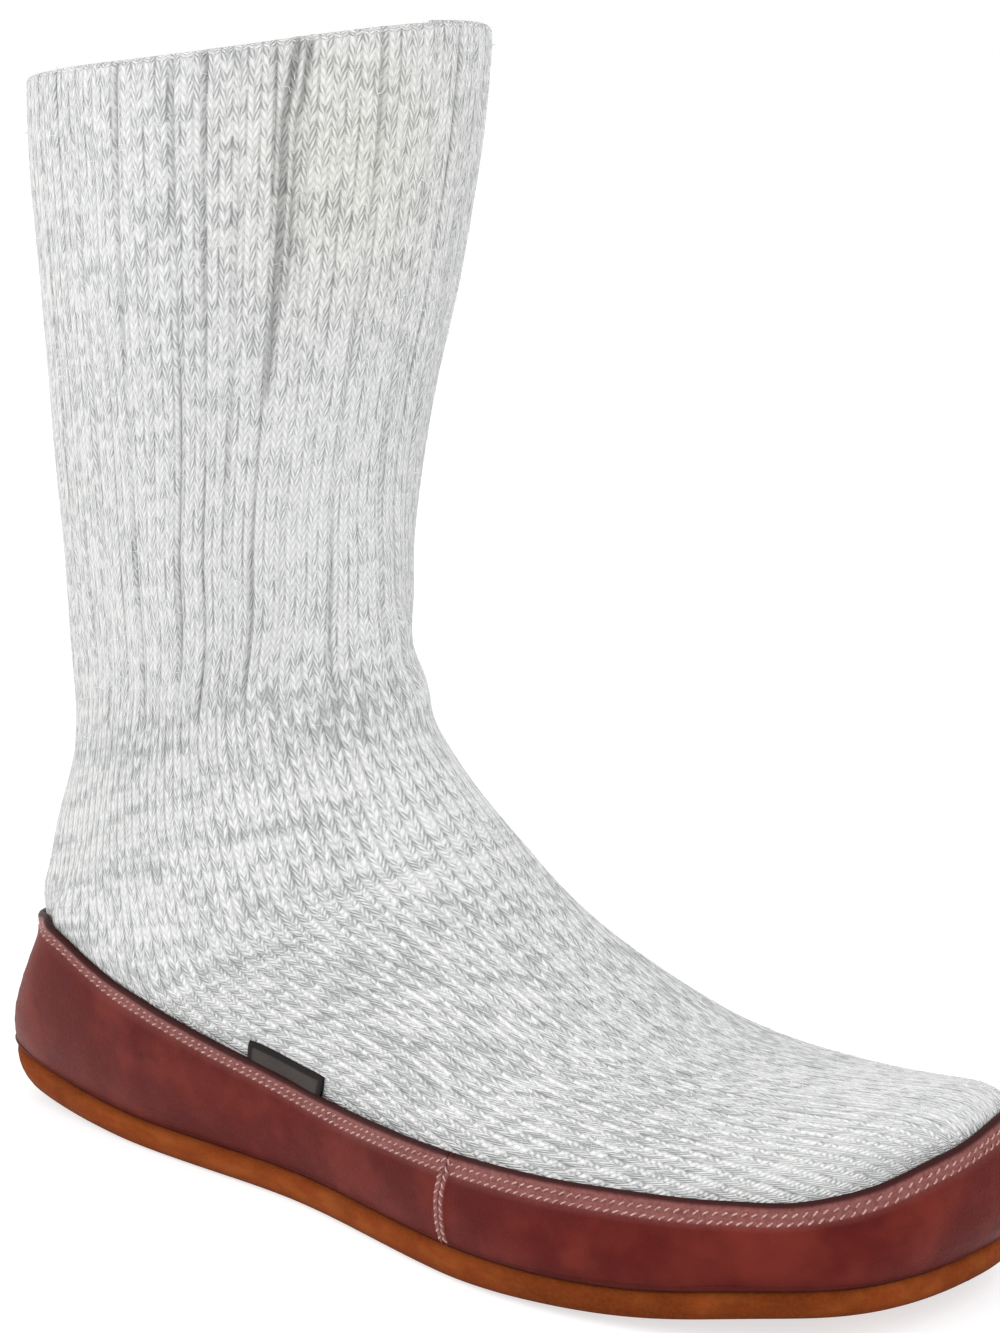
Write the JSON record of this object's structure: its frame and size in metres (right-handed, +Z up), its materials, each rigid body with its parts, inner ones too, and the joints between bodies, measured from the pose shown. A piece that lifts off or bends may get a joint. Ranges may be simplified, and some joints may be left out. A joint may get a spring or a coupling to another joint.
{
  "type": "slipper sock",
  "caption": "Ribbed knitted slipper sock for the right foot with leather wraps at heel and toe, suede outsole, inner footbed and a blank side label, open at the collar.",
  "frame": {"origin": "middle of the bounding box on the floor plane, under the waist of the sole", "axes": "+X along the foot towards the toe, +Y towards the wearer's inner side, +Z up out of the collar"},
  "size_m": [0.2916, 0.1018, 0.274],
  "materials": {
    "knit": "soft marled rib knit in pale grey",
    "wrap_leather": "smooth burgundy leather, satin",
    "sole_suede": "orange-brown suede, matt",
    "footbed_cloth": "off-white knitted cloth over foam",
    "tab_ribbon": "black woven ribbon, blank"
  },
  "bodies": {
    "root": {"knit_upper": "knit", "heel_wrap": "wrap_leather", "toe_wrap": "wrap_leather", "outsole": "sole_suede", "footbed": "footbed_cloth", "side_tab": "tab_ribbon"}
  },
  "joints": []
}
